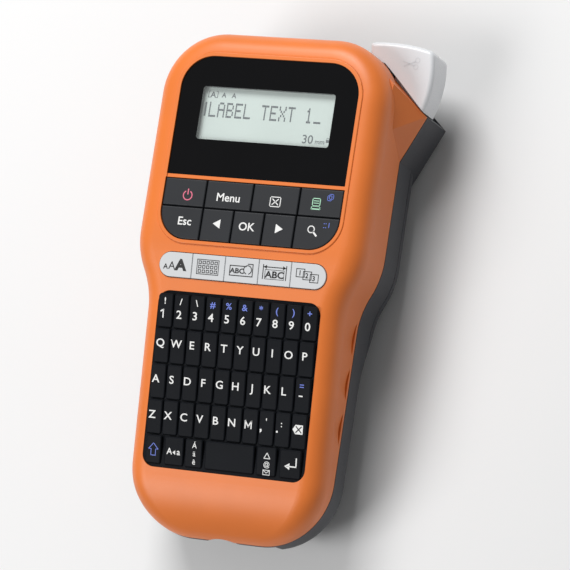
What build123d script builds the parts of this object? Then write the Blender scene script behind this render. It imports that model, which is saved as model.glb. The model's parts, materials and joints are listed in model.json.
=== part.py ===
from build123d import *
import math
import os

# Handheld label maker lying on its back: X to the right, Y towards the display end, Z out of the keypad.
# The origin is on the rest plane, under the middle of the body.

os.makedirs("parts", exist_ok=True)

# ---------------------------------------------------------------- driving dimensions, in mm
# Body outline, seen from the front
body_length = 204.8
top_y = body_length / 2     # the display end
head_half = 49.8            # half width of the display end
grip_half = 42.6            # half width of the hand grip
head_corner = 26.0
grip_corner = 28.0
shoulder_top = top_y - 84.4  # the head narrows to the grip between these two Y values
shoulder_low = top_y - 115.4

# Body profile, seen from the side
body_height = 56.0
keypad_slope = 7.63         # degrees that the keypad tips down from the display face
bend_y = top_y - 89.1       # where the keypad face leaves the display face
bend_radius = 60.0
chin_start = -top_y + 22.4
chin_radius = 34.0
grip_lift = 7.0             # the back of the grip stands off the rest plane by this
lift_end = -6.0             # the back is flat above this Y
lift_start = -36.0
foot_half = 22.0            # foot that carries the lifted grip
foot_low = -top_y + 12.0
foot_high = -top_y + 30.0
face_round = 9.0
back_round = 14.0
wall = 2.2

# Parting lines
seam_z = 29.0               # front case above, rear case below
seam_gap = 0.5
cover_z = 14.5              # rear case above, back cover below
cover_gap = 0.3
lip_clearance = 0.15
lip_thickness = 1.2
lip_height = 2.4

# Front face
window_half = head_half - 11.0
window_top = top_y - 11.4
window_bottom = top_y - 61.1
window_corner = 13.5
window_thickness = 1.7
window_depth = 0.25         # top of the window below the face
screen_half = window_half - 9.9
screen_top = window_top - 12.6
screen_bottom = window_bottom + 15.1
controls_top = window_bottom - 1.8
controls_bottom = controls_top - 24.8
controls_corner = 12.0
controls_split_y = controls_bottom + 13.4
upper_splits = [-20.5, 0.0, 20.3]
lower_splits = [-20.5, -6.9, 6.5, 20.1]
strip_half = grip_half - 6.3
strip_top = controls_bottom - 5.5
strip_bottom = strip_top - 9.9
strip_splits = [-21.9, -7.5, 7.2, 21.2]
keypad_half = grip_half - 7.3
keypad_top = strip_bottom - 5.5
keypad_bottom = -top_y + 25.7
keypad_corner = 5.0
bead_width = 1.8
bead_height = 0.5
screen_glass_top = 53.1
screen_glass = 1.8
lcd_margin = 2.4            # glass hidden beyond the visible screen
lcd_wall = 1.4              # rim of the tray that holds the glass

# Keys
key_gap = 0.4
key_travel = 0.8
dome_gap = key_travel + 0.1
key_edge_gap = 0.3
control_key_top = 56.3
control_key_bottom = 51.4
flange_reach = 0.8
flange_depth = 1.1
strip_key_top = 0.6         # heights on the keypad face's own plane
strip_key_bottom = -4.0
mat_face = -0.5
mat_reach = 1.6             # the mat's flange beyond the keypad opening
mat_flange_top = -2.4
mat_flange_bottom = -3.8
columns = 10
column_pitch = (2 * keypad_half - 0.6) / columns
row_pitch = (keypad_top - keypad_bottom) * 0.2014
key_crest = 1.4             # upper edge of a keypad key above the face plane
key_dip = 0.1               # lower edge of a keypad key above the face plane

# Boards
board_thickness = 1.6
main_board_z = 46.5
key_board_top = -6.0

# Wing beside the tape exit, and the exit slot
wing_tip = (head_half + 9.0, top_y - 24.9)
wing_root = (head_half + 0.2, top_y - 16.8)
wing_kink = (head_half + 0.5, top_y - 43.2)
wing_root_z = 45.0
wing_tip_z = 30.2
wing_fold = (head_half + 0.2, top_y - 33.4, 42.0)
wing_join = head_half - 4.0  # the back cover gives way to the wing's floor here
wing_bottom = 4.0
wing_round = 2.0
slot_from_tip = 6.4         # tape plane to wing tip, along the end face
slot_before = 4.6
slot_after = 3.9
slot_bottom = 6.5
slot_top = 18.6

# Cutter lever
lever_bottom = 19.5
lever_top = 38.0
lever_fall = 0.17           # drop of the lever's front per mm towards the grip
lever_swing = 4.5           # degrees
lever_corner = 3.2
lever_front_round = 1.8
lever_back_round = 2.2
lever_pivot = (head_half - 5.8, top_y - 38.4)
lever_pin_radius = 1.5
running_clearance = 0.05
arm_bottom = 25.4
arm_thickness = 3.0
pocket_margin = 0.7
pocket_wall = 1.2

# Printing mechanism
chassis_z = 23.4
chassis_thickness = 1.5
gear_layer = 29.5
gear_width = 4.0
gear_module = 0.6
gear_backlash = 0.14
centre_slack = 0.08
platen_teeth = 20
idler_teeth = 24
pinion_teeth = 12
reduction_teeth = 36
motor_teeth = 10
ribbon_teeth = 22
platen_radius = 4.0
head_distance = 20.0        # printing line behind the wing's end face
tape_width = 12.0
tape_low = 7.0
shaft_radius = 1.5
motor_radius = 9.0

# Tape cassette
cassette_left = -head_half + 8.8
cassette_right = head_half - 12.8
cassette_low = top_y - 80.4
cassette_high = top_y - 26.4
cassette_z = 4.8
cassette_thickness = 18.0
cassette_wall = 1.2
cassette_back = 7.85        # the case's cut corner lies this far behind the printing line
roll_centre = (cassette_left + 23.0, cassette_low + 27.0)
roll_radius = 19.5

# Batteries (six AAA cells side by side)
cell_radius = 5.25
cell_length = 43.3
cell_nub_radius = 1.9
cell_nub = 1.0
cell_pitch = 11.2
cell_count = 6
cell_z = 15.6
cell_end = -top_y + 30.9
spring_length = 3.6
tray_wall = 1.4

# Power inlet
jack_x = -1.5
jack_z = 22.5
jack_bore = 2.85
jack_bore_length = 4.5
jack_pin = 1.05
recess_half = 21.0
recess_depth = 3.5
relief_radius = 8.7
relief_depth = 1.2

# Screws
screw_radius = 1.4
screw_clearance = 0.08
post_radius = 3.1
post_x = grip_half - 15.6
side_x = grip_half - 7.2
wide_x = head_half - 6.8
case_posts = [(-20.0, top_y - 7.1), (9.0, top_y - 7.1), (-post_x, -top_y + 14.4), (post_x, -top_y + 14.4)]
chassis_posts = [(-wide_x + 7.0, top_y - 19.4), (16.0, top_y - 14.9), (-wide_x, top_y - 84.2), (wide_x, top_y - 84.2)]
tray_end_posts = [(-17.5, -top_y + 17.9), (17.5, -top_y + 17.9)]
tray_side_posts = [(-side_x, cell_end + 51.7), (side_x, cell_end + 51.7)]
side_post_top = 38.0
ear_z = 20.0
ear_thickness = 2.5
tray_z = 21.4

# ---------------------------------------------------------------- values worked out from those
slope_sin = math.sin(math.radians(keypad_slope))
slope_cos = math.cos(math.radians(keypad_slope))
slope_tan = slope_sin / slope_cos
slope_ref_y = bend_y - 53.3
slope_ref_z = body_height - 53.3 * slope_tan


def slope_z(y):
    return slope_ref_z + slope_tan * (y - slope_ref_y)


def on_slope(y):
    """Distance along the keypad face from its reference line."""
    return (y - slope_ref_y) / slope_cos


slope_plane = Plane(origin=(0, slope_ref_y, slope_ref_z), x_dir=(1, 0, 0), z_dir=(0, -slope_sin, slope_cos))

end_length = math.dist(wing_tip, wing_root)
along_end = Vector((wing_tip[0] - wing_root[0]) / end_length, (wing_tip[1] - wing_root[1]) / end_length, 0)
out_of_end = Vector(-along_end.Y, along_end.X, 0)
slot_centre = Vector(wing_tip[0], wing_tip[1], 0) - along_end * slot_from_tip
print_line = slot_centre - out_of_end * head_distance
platen_gap = 0.15
platen_centre = print_line - along_end * (platen_radius + platen_gap)


def end_line_y(x):
    """Y of the wing's end face at x."""
    return wing_tip[1] + (x - wing_tip[0]) * along_end.Y / along_end.X


# ---------------------------------------------------------------- small helpers
def block(x0, x1, y0, y1, z0, z1):
    return Pos((x0 + x1) / 2, (y0 + y1) / 2, (z0 + z1) / 2) * Box(x1 - x0, y1 - y0, z1 - z0)


def rod(x, y, z0, z1, radius):
    return Pos(x, y, (z0 + z1) / 2) * Cylinder(radius, z1 - z0)


def slab(face, z0, z1):
    return extrude(Pos(0, 0, z0) * face, z1 - z0)


def rectangle(x0, x1, y0, y1):
    return Pos((x0 + x1) / 2, (y0 + y1) / 2) * Rectangle(x1 - x0, y1 - y0)


def polygon(points):
    return make_face(Polyline(*points, close=True))


def save(shape, name):
    export_step(shape, f"parts/{name}.step")


# ---------------------------------------------------------------- body shape
def plan_face():
    shoulder = ((head_half + grip_half) / 2, (shoulder_top + shoulder_low) / 2)
    right = [
        Line((0, top_y), (head_half - head_corner, top_y)),
        RadiusArc((head_half - head_corner, top_y), (head_half, top_y - head_corner), head_corner),
        Line((head_half, top_y - head_corner), (head_half, shoulder_top)),
        TangentArc((head_half, shoulder_top), shoulder, tangent=(0, -1)),
        TangentArc((grip_half, shoulder_low), shoulder, tangent=(0, 1)),
        Line((grip_half, shoulder_low), (grip_half, -top_y + grip_corner)),
        RadiusArc((grip_half, -top_y + grip_corner), (grip_half - grip_corner, -top_y), grip_corner),
        Line((grip_half - grip_corner, -top_y), (0, -top_y)),
    ]
    left = [edge.mirror(Plane.YZ) for edge in right]
    return make_face(right + left)


def profile_face():
    """Outline in the Y-Z plane: flat head, bend, sloping keypad, chin and lifted grip."""
    beyond = 5.0
    bend_reach = bend_radius * math.tan(math.radians(keypad_slope / 2))
    bend_high = (bend_y + bend_reach, body_height)
    bend_low = (bend_y - bend_reach * slope_cos, body_height - bend_reach * slope_sin)
    chin_high = (chin_start, slope_z(chin_start))
    chin_centre = (chin_start + chin_radius * slope_sin, slope_z(chin_start) - chin_radius * slope_cos)
    end_y = -top_y - beyond / 2
    chin_low = (end_y, chin_centre[1] + math.sqrt(chin_radius ** 2 - (chin_centre[0] - end_y) ** 2))
    lift_middle = ((lift_start + lift_end) / 2, grip_lift / 2)
    return make_face([
        Line((top_y + beyond, body_height), bend_high),
        TangentArc(bend_high, bend_low, tangent=(-1, 0)),
        Line(bend_low, chin_high),
        TangentArc(chin_high, chin_low, tangent=(-slope_cos, -slope_sin)),
        Line(chin_low, (end_y, grip_lift)),
        Line((end_y, grip_lift), (lift_start, grip_lift)),
        TangentArc((lift_start, grip_lift), lift_middle, tangent=(1, 0)),
        TangentArc((lift_end, 0), lift_middle, tangent=(-1, 0)),
        Line((lift_end, 0), (top_y + beyond, 0)),
        Line((top_y + beyond, 0), (top_y + beyond, body_height)),
    ])


def rim(solid, up):
    """Edges around the top (up=1) or bottom (up=-1) faces of the body."""
    faces = [face for face in solid.faces() if up * face.normal_at(face.center()).Z > 0.3]
    edges = [edge for face in faces for edge in face.edges()]
    return [edge for edge in edges if sum(edge.is_same(other) for other in edges) == 1]


body_cache = {}


def body(inset=0.0):
    """The whole body's shape, shrunk by inset all over."""
    key = round(inset, 3)
    if key not in body_cache:
        plan = plan_face()
        profile = profile_face()
        if inset > 0:
            plan = offset(plan, -inset)
            profile = offset(profile, -inset)
        solid = (extrude(plan, 2 * body_height) & extrude(Plane.YZ * profile, body_length, both=True)).solid()
        solid = fillet(rim(solid, 1), face_round - inset)
        body_cache[key] = fillet(rim(solid, -1), back_round - inset)
    return body_cache[key]


def body_layer(inset, z0, z1):
    return body(inset) & block(-body_length, body_length, -body_length, body_length, z0, z1)


def facet_cut(shape, a, b, c, inset):
    """Keep the part of shape on the side of the plane through a, b and c that holds the body's middle."""
    plane = Plane(origin=a, x_dir=Vector(*b) - Vector(*a), z_dir=(Vector(*b) - Vector(*a)).cross(Vector(*c) - Vector(*a)))
    if plane.z_dir.Z < 0:
        plane = Plane(origin=plane.origin, x_dir=plane.x_dir, z_dir=-plane.z_dir)
    plane = plane.offset(-inset)
    return shape - plane * (Pos(0, 0, body_length / 2) * Box(2 * body_length, 2 * body_length, body_length))


def wing_outline(inset=0.0):
    inner_x = head_half - 11.8
    low_x = head_half - 4.8
    kink_slope = (wing_tip[1] - wing_kink[1]) / (wing_tip[0] - wing_kink[0])
    inner_low = wing_kink[1] - (wing_kink[0] - low_x) * kink_slope
    face = polygon([
        (inner_x, end_line_y(inner_x)),
        wing_tip,
        (low_x, inner_low),
        (inner_x, inner_low),
    ])
    return offset(face, -inset, kind=Kind.INTERSECTION) if inset > 0 else face


def wing_front(inset=0.0):
    tip = (*wing_tip, wing_tip_z)
    solid = slab(wing_outline(inset), seam_z + seam_gap / 2, body_height - face_round - 0.5 - inset)
    solid = facet_cut(solid, tip, (*wing_root, wing_root_z), wing_fold, inset)
    return facet_cut(solid, tip, wing_fold, (*wing_kink, seam_z), inset)


def wing_rear(inset=0.0):
    high = seam_z - seam_gap / 2 + (1.0 if inset > 0 else 0.0)
    solid = slab(wing_outline(inset), wing_bottom + inset, high)
    if inset > 0:
        return solid
    low_edges = [edge for edge in solid.edges() if abs(edge.center().Z - wing_bottom) < 0.01]
    outer_edges = [edge for edge in low_edges if edge.center().X > wing_root[0]]
    return fillet(outer_edges, wing_round)


# ---------------------------------------------------------------- lever pocket
pocket_left = head_half - 21.2
pocket_corner_x = head_half - 6.4
pocket_floor = lever_bottom - pocket_margin
pocket_roof = lever_top + pocket_margin


def pocket_face():
    far_x = head_half + 25.0
    far_y = top_y + 10.0
    return polygon([
        (pocket_left, far_y),
        (pocket_left, top_y - 4.9),
        (pocket_corner_x, end_line_y(pocket_corner_x)),
        (far_x, end_line_y(far_x)),
        (far_x, far_y),
    ])


def pocket_cut():
    return slab(pocket_face(), pocket_floor, pocket_roof)


def pocket_lining(z0, z1):
    """Solid around the pocket, inside the body, before the pocket is cut from it."""
    return slab(offset(pocket_face(), pocket_wall), z0, z1) & body()


# ---------------------------------------------------------------- front face outlines
def window_face():
    top = rectangle(-window_half, window_half, window_bottom, window_top)
    corners = [vertex for vertex in top.vertices() if vertex.Y > window_top - 0.01]
    return fillet(corners, window_corner)


def controls_face():
    area = rectangle(-window_half, window_half, controls_bottom, controls_top)
    corners = [vertex for vertex in area.vertices() if vertex.Y < controls_bottom + 0.01]
    return fillet(corners, controls_corner)


def panel_face():
    """Window and control keys together, for the bead around them."""
    area = rectangle(-window_half, window_half, controls_bottom, window_top)
    high = [vertex for vertex in area.vertices() if vertex.Y > window_top - 0.01]
    area = fillet(high, window_corner)
    low = [vertex for vertex in area.vertices() if vertex.Y < controls_bottom + 0.01]
    return fillet(low, controls_corner)


def strip_face():
    """Full-round strip of function keys, on the keypad face's plane."""
    low = on_slope(strip_bottom)
    high = on_slope(strip_top)
    area = rectangle(-strip_half, strip_half, low, high)
    return fillet(area.vertices(), (high - low) / 2 - 0.01)


def keypad_face():
    area = rectangle(-keypad_half, keypad_half, on_slope(keypad_bottom), on_slope(keypad_top))
    return fillet(area.vertices(), keypad_corner)


def on_keypad(face, z0, z1):
    return slope_plane * slab(face, z0, z1)


# ---------------------------------------------------------------- cases
def posts(places, low):
    return [rod(x, y, low, body_height, post_radius) & body(wall / 2) for x, y in places]


def side_posts(places, low):
    """Short posts joined to the side walls, clear of the rear case's lip."""
    shapes = []
    for x, y in places:
        arm = block(min(x, 2 * x), max(x, 2 * x), y - post_radius, y + post_radius, seam_z + 3.5, side_post_top)
        shapes.append(rod(x, y, low, side_post_top, post_radius) + (arm & body(wall / 2)))
    return shapes


def screw_hole(x, y, low, depth):
    return rod(x, y, low - 1, low + depth, screw_radius + screw_clearance)


def front_case():
    low = seam_z + seam_gap / 2
    shell = body_layer(0, low, body_height) + wing_front()
    shell -= body_layer(wall, seam_z - 1, body_height)
    shell -= wing_front(wall)
    shell -= slab(wing_outline(wall), seam_z - 1, low + 0.5)
    shell += pocket_lining(low, pocket_roof + pocket_wall)
    shell -= pocket_cut()

    # screw posts
    for post in posts(case_posts, ear_z + ear_thickness + 0.1):
        shell += post
    for post in posts(chassis_posts, chassis_z + chassis_thickness):
        shell += post
    for post in posts(tray_end_posts, tray_z + board_thickness):
        shell += post
    for post in side_posts(tray_side_posts, tray_z + board_thickness):
        shell += post
    for x, y in case_posts:
        shell -= screw_hole(x, y, ear_z + ear_thickness, 12)
    for x, y in chassis_posts:
        shell -= screw_hole(x, y, chassis_z + chassis_thickness, 9)
    for x, y in tray_end_posts + tray_side_posts:
        shell -= screw_hole(x, y, tray_z + board_thickness, 9)

    # bead, window seat and openings
    bead = slab(offset(panel_face(), bead_width), body_height - 1.0, body_height + bead_height)
    bead = fillet([edge for edge in bead.edges() if abs(edge.center().Z - body_height - bead_height) < 0.01], 0.45)
    shell += bead
    seat_z = body_height - window_depth - window_thickness
    shell += slab(offset(window_face(), 1.5), seat_z - 1.4, seat_z + 0.2) & body(wall / 2)
    shell -= slab(panel_face(), body_height, body_height + 5)
    shell -= slab(offset(window_face(), 0.1), seat_z, body_height + 5)
    reach = lcd_margin + lcd_wall + 0.5
    shell -= slab(rectangle(-screen_half - reach, screen_half + reach, screen_bottom - reach, screen_top + reach), 40, body_height)
    shell -= slab(offset(controls_face(), key_edge_gap), 50, body_height + 5)
    shell -= slab(offset(controls_face(), flange_reach + 0.2), control_key_bottom - 2, control_key_bottom + flange_depth + 0.4)
    shell -= on_keypad(offset(strip_face(), key_edge_gap), -8, 8)
    shell -= on_keypad(offset(keypad_face(), 0.1), -8, 8)
    shell -= on_keypad(offset(keypad_face(), mat_reach + 0.15), key_board_top - 2, mat_flange_top + 0.1)

    # relief for the power plug, and the finger scallops
    shell -= Pos(jack_x, -top_y, jack_z) * Rot(90, 0, 0) * Cylinder(relief_radius, 2 * relief_depth)
    for place in range(3):
        for side in (-1, 1):
            shell -= scallop(side, scallop_first + place * scallop_pitch)
    return shell


scallop_first = -top_y + 50.4
scallop_pitch = 18.0
scallop_radius = 25.0
scallop_depth = 0.9
scallop_lean = 4.5


def scallop(side, y):
    """Tall cylinder that leans outwards, so that the dent fades towards the face."""
    centre_x = grip_half + scallop_radius - scallop_depth
    cutter = Pos(0, 0, 40) * Cylinder(scallop_radius, 80)
    return Pos(side * centre_x, y, seam_z) * Rot(0, side * scallop_lean, 0) * cutter


def rear_case():
    low = cover_z + cover_gap / 2
    high = seam_z - seam_gap / 2
    lip_inset = wall + lip_clearance
    shell = body_layer(0, low, high) + wing_rear()
    shell -= body_layer(wall, low - 1, high + 1)
    shell -= wing_rear(wall)
    # thickened rim and the lip that centres the front case
    rim_band = body_layer(0, high - 3, high) - body_layer(lip_inset + lip_thickness, high - 4, high + 1)
    rim_band -= slab(wing_outline(lip_inset + lip_thickness), high - 4, high + 1)
    lip = body_layer(lip_inset, high - 1, high + lip_height)
    lip -= body_layer(lip_inset + lip_thickness, high - 2, high + lip_height + 1)
    lip -= slab(wing_outline(), high - 2, high + lip_height + 1)
    lip -= slab(offset(pocket_face(), pocket_wall + 0.3), high, high + lip_height + 1)
    shell += rim_band
    shell += lip
    shell += pocket_lining(pocket_floor - pocket_wall, high)
    # the wing's lower part is open towards the mechanism, and the cover stays clear of it
    inner = block(-head_half, wing_join + cover_gap, wing_kink[1] - 20, top_y, 0, low)
    shell -= inner & slab(wing_outline(), 0, low)
    shell -= pocket_cut()
    for way in arm_way():
        shell -= way
    shell -= tape_slot()
    # ears for the case screws
    for x, y in case_posts:
        ear = rod(x, y, ear_z, ear_z + ear_thickness, post_radius + 0.9)
        reach_y = y + math.copysign(8, y)
        reach_x = x + (math.copysign(6, x) if y < 0 else 0)
        arm = block(min(x, reach_x) - 3, max(x, reach_x) + 3, min(y, reach_y), max(y, reach_y), ear_z, ear_z + ear_thickness)
        shell += (ear + arm) & body(wall / 2)
        shell -= rod(x, y, ear_z - 1, ear_z + 4, screw_radius + screw_clearance)
    # recess in the lower end, with the power inlet in it
    shell += body_layer(0, low, high) & block(-recess_half - wall, recess_half + wall, -top_y, -top_y + recess_depth + wall, low, high)
    shell -= block(-recess_half, recess_half, -top_y - 5, -top_y + recess_depth, 0, high - 1.2)
    shell -= Pos(jack_x, -top_y, jack_z) * Rot(90, 0, 0) * Cylinder(relief_radius, 2 * recess_depth)
    shell -= Pos(jack_x, -top_y, jack_z) * Rot(90, 0, 0) * Cylinder(jack_outer + 0.1, 40)
    return shell


def tape_slot():
    face = polygon([
        to_tuple(slot_centre - along_end * slot_before - out_of_end * 2 * wall),
        to_tuple(slot_centre + along_end * slot_after - out_of_end * 2 * wall),
        to_tuple(slot_centre + along_end * slot_after + out_of_end * 3),
        to_tuple(slot_centre - along_end * slot_before + out_of_end * 3),
    ])
    return slab(face, slot_bottom, slot_top)


def to_tuple(vector):
    return (vector.X, vector.Y)


def arm_face():
    """The lever's arm: from its pivot, past the blade, out through the pocket wall."""
    pivot_x, pivot_y = lever_pivot
    branch = [(-6.4, 4.4), (-2.8, 4.4), (-2.8, -0.5), (2.2, -0.5)]
    return polygon([
        (pivot_x - 3.4, pivot_y - 2.5),
        (pivot_x + 1.9, pivot_y - 2.5),
        (pivot_x + 2.6, pivot_y + 11.5),
        *[to_tuple(slot_centre + out_of_end * n + along_end * t) for n, t in branch],
        (head_half + 0.2, top_y - 9.4),
        (head_half - 7.2, top_y - 5.0),
        (head_half - 8.3, top_y - 18.4),
    ])


def arm_way():
    """Passage for the lever's arm through the pocket wall, over its whole swing."""
    wide = offset(arm_face(), 0.5)
    centre = Pos(*lever_pivot)
    turns = [0, lever_swing / 2, lever_swing]
    swept = [centre * Rot(0, 0, turn) * centre.inverse() * wide for turn in turns]
    return [slab(face, arm_bottom - 0.5, seam_z) for face in swept]


def foot(inset, top):
    outline = fillet(rectangle(-foot_half, foot_half, foot_low, foot_high).vertices(), 6.0)
    if inset > 0:
        return slab(offset(outline, -inset), inset, top)
    block_shape = slab(outline, 0, top)
    return fillet([edge for edge in block_shape.edges() if abs(edge.center().Z) < 0.01], 1.5)


def back_cover():
    high = cover_z - cover_gap / 2
    shell = body_layer(0, 0, high) - body_layer(wall, -1, high + 1)
    shell += foot(0, grip_lift + 1.0)
    shell -= foot(wall, grip_lift + wall + 1.0)
    end = body_layer(0, 0, high) & block(-recess_half - wall, recess_half + wall, -top_y, -top_y + recess_depth + wall, 0, high)
    shell += end
    shell -= block(-recess_half, recess_half, -top_y - 5, -top_y + recess_depth, -1, high + 1)
    beyond = rectangle(wing_join, 2 * head_half, wing_kink[1] - 20, top_y)
    shell -= slab(offset(wing_outline(), cover_gap) & beyond, wing_bottom - cover_gap, high + 1)
    return shell


# ---------------------------------------------------------------- keys
def control_key(x0, x1, y0, y1):
    """One cell of the control area: a cap with a soft rim, and a flange where it meets the case."""
    half = key_gap / 2
    edge = 3.0
    left = x0 - edge if x0 <= -window_half else x0 + half
    right = x1 + edge if x1 >= window_half else x1 - half
    low = y0 - edge if y0 <= controls_bottom else y0 + half
    high = y1 + edge if y1 >= controls_top else y1 - half
    cell = rectangle(left, right, low, high)
    cap = slab(controls_face() & cell, control_key_bottom, control_key_top)
    rim_edges = [e for e in cap.edges() if abs(e.center().Z - control_key_top) < 0.01]
    cap = fillet(rim_edges, 0.6)
    ledge = slab(offset(controls_face(), flange_reach) & cell, control_key_bottom, control_key_bottom + flange_depth)
    return cap + ledge


def strip_key(x0, x1):
    half = key_gap / 4
    edge = 3.0
    left = x0 - edge if x0 <= -strip_half else x0 + half
    right = x1 + edge if x1 >= strip_half else x1 - half
    cell = rectangle(left, right, on_slope(strip_bottom) - edge, on_slope(strip_top) + edge)
    cap = slab(strip_face() & cell, strip_key_bottom, strip_key_top)
    rim_edges = [e for e in cap.edges() if abs(e.center().Z - strip_key_top) < 0.01]
    cap = fillet(rim_edges, 0.25)
    ledge = slab(offset(strip_face(), flange_reach) & cell, strip_key_bottom, strip_key_bottom + flange_depth)
    return slope_plane * (cap + ledge)


def pillow(x0, x1, y0, y1):
    """A keypad key whose crest is at its upper edge, on the keypad face's plane."""
    profile = polygon([(y0, mat_face - 0.2), (y1, mat_face - 0.2), (y1, key_crest), (y0, key_dip)])
    cap = extrude(Plane.YZ * profile, (x1 - x0) / 2, both=True)
    cap = Pos((x0 + x1) / 2, 0, 0) * cap
    upright = [e for e in cap.edges() if abs(e.tangent_at(0.5).Z) > 0.9]
    cap = fillet(upright, 0.9)
    crown = [e for e in cap.edges() if e.center().Z > key_dip - 0.05]
    return fillet(crown, 0.6)


# edges of the last row's keys, as parts of the keypad's half width
bottom_row = [(-0.960, -0.768), (-0.725, -0.487), (-0.470, -0.255), (-0.221, 0.385), (0.414, 0.657), (0.697, 0.960)]


def keypad_rows():
    """Cells of the keypad: four rows of ten keys, then six wider keys."""
    inner = 0.2
    first_top = keypad_top - 1.0
    digit_bottom = keypad_top - 15.1
    rows = []
    limits = [(first_top, digit_bottom)]
    for row in range(3):
        limits.append((digit_bottom - row * row_pitch, digit_bottom - (row + 1) * row_pitch))
    for high, low in limits:
        for column in range(columns):
            centre = (column - (columns - 1) / 2) * column_pitch
            rows.append((centre - column_pitch / 2 + inner, centre + column_pitch / 2 - inner, low + inner, high - inner))
    last_high = digit_bottom - 3 * row_pitch
    for x0, x1 in bottom_row:
        rows.append((x0 * keypad_half, x1 * keypad_half, keypad_bottom + 1.2, last_high - inner))
    return rows


def keypad_mat():
    mat = slab(keypad_face(), mat_flange_bottom, mat_face)
    mat += slab(offset(keypad_face(), mat_reach), mat_flange_bottom, mat_flange_top)
    skirt = slab(offset(keypad_face(), mat_reach), key_board_top, mat_flange_bottom)
    mat += skirt - slab(offset(keypad_face(), -0.2), key_board_top - 1, mat_flange_bottom)
    trimmed = slab(keypad_face(), mat_face - 1, 4)
    caps = [pillow(x0, x1, on_slope(y0), on_slope(y1)) for x0, x1, y0, y1 in keypad_rows()]
    for cap in caps:
        mat += cap & trimmed
    return slope_plane * mat


def control_cells():
    cells = []
    upper = [-window_half, *upper_splits, window_half]
    lower = [-window_half, *lower_splits, window_half]
    for left, right in zip(upper, upper[1:]):
        cells.append((left, right, controls_split_y, controls_top))
    for left, right in zip(lower, lower[1:]):
        cells.append((left, right, controls_bottom, controls_split_y))
    return cells


control_names = ["power", "menu", "clear", "print", "escape", "left", "ok", "right", "find"]
strip_names = ["font", "frame", "tape", "width", "numbering"]


def dome_sheet():
    """Rubber sheet with one dome under each control key."""
    sheet_z = main_board_z + board_thickness + 0.1
    top = control_key_bottom - dome_gap
    sheet = slab(offset(controls_face(), -1.5), sheet_z, sheet_z + 0.8)
    for x0, x1, y0, y1 in control_cells():
        sheet += Pos((x0 + x1) / 2, (y0 + y1) / 2, (sheet_z + top) / 2) * Cone(3.6, 2.2, top - sheet_z)
    return sheet


def strip_sheet():
    top = strip_key_bottom - dome_gap
    low = key_board_top + 0.1
    sheet = slab(offset(strip_face(), -1.2), low, low + 0.5)
    edges = [-strip_half, *strip_splits, strip_half]
    middle = on_slope((strip_top + strip_bottom) / 2)
    for x0, x1 in zip(edges, edges[1:]):
        sheet += Pos((x0 + x1) / 2, middle, (low + top) / 2) * Cone(3.0, 2.0, top - low)
    return slope_plane * sheet


# ---------------------------------------------------------------- display and boards
def display_window():
    high = body_height - window_depth
    sheet = slab(window_face(), high - window_thickness, high)
    opening = fillet(rectangle(-screen_half, screen_half, screen_bottom, screen_top).vertices(), 1.2)
    return sheet - slab(opening, high - 5, high + 1)


def window_lens():
    high = body_height - window_depth
    opening = fillet(rectangle(-screen_half, screen_half, screen_bottom, screen_top).vertices(), 1.2)
    return slab(opening, high - window_thickness, high)


def lcd_panel():
    face = rectangle(-screen_half - lcd_margin, screen_half + lcd_margin, screen_bottom - lcd_margin, screen_top + lcd_margin)
    return slab(face, screen_glass_top - screen_glass, screen_glass_top)


def lcd_frame():
    """Tray that holds the display glass above the main board."""
    reach = lcd_margin + 0.1
    outer = lcd_margin + lcd_wall
    low = main_board_z + board_thickness + 0.1
    tray = block(-screen_half - outer, screen_half + outer, screen_bottom - outer, screen_top + outer, low, screen_glass_top)
    seat = block(-screen_half - reach, screen_half + reach, screen_bottom - reach, screen_top + reach,
                 screen_glass_top - screen_glass, screen_glass_top + 1)
    hollow = block(-screen_half, screen_half, screen_bottom, screen_top, low - 1, screen_glass_top)
    return tray - seat - hollow


def main_board():
    outline = offset(plan_face(), -wall - 3.2) & rectangle(-head_half, head_half, bend_y - 0.8, top_y - 10.9)
    board = slab(outline, main_board_z, main_board_z + board_thickness)
    for x, y in chassis_posts + case_posts:
        board -= rod(x, y, 0, body_height, post_radius + 0.4)
    return board


def key_board():
    outline = rectangle(-keypad_half - 2.2, keypad_half + 2.2, on_slope(keypad_bottom - 2.8), on_slope(strip_top + 1.3))
    board = on_keypad(outline, key_board_top - board_thickness, key_board_top)
    for x, y in tray_end_posts:
        board -= rod(x, y, 0, body_height, post_radius + 0.6)
    return board


def board_chips():
    """Controller, driver and memory on the underside of the main board."""
    sizes = [(-22, 23, 14, 14, 1.6), (-2, 21, 10, 8, 1.4), (-24, 47, 8, 6, 1.2), (28, 31, 12, 9, 2.4)]
    chips = []
    for x, above, width, length, thick in sizes:
        y = bend_y + above
        chips.append(block(x, x + width, y, y + length, main_board_z - thick, main_board_z))
    return Compound(chips)


# ---------------------------------------------------------------- mechanism
def gear_outline(teeth, angle):
    """Involute gear with tooth 0 pointing along angle, in radians."""
    pressure = math.radians(20)
    pitch_r = gear_module * teeth / 2
    base_r = pitch_r * math.cos(pressure)
    outer_r = pitch_r + 0.9 * gear_module
    root_r = pitch_r - 1.2 * gear_module
    start_r = max(base_r, root_r + 0.05)
    half_at_pitch = math.pi / (2 * teeth) - gear_backlash / (2 * pitch_r)
    steps = 4
    flank = []
    for step in range(steps + 1):
        radius = start_r + (outer_r - start_r) * step / steps
        turn = math.acos(min(1.0, base_r / radius))
        half = half_at_pitch + (math.tan(pressure) - pressure) - (math.tan(turn) - turn)
        flank.append((radius, half))
    points = []
    for tooth in range(teeth):
        middle = angle + 2 * math.pi * tooth / teeth
        root_half = flank[0][1]
        points.append(polar(root_r, middle - root_half))
        points += [polar(radius, middle - half) for radius, half in flank]
        points += [polar(radius, middle + half) for radius, half in reversed(flank)]
        points.append(polar(root_r, middle + root_half))
    return polygon(points)


def polar(radius, angle):
    return (radius * math.cos(angle), radius * math.sin(angle))


def gear(teeth, centre, angle, z0, width):
    return Pos(centre.X, centre.Y, 0) * slab(gear_outline(teeth, angle), z0, z0 + width)


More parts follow.
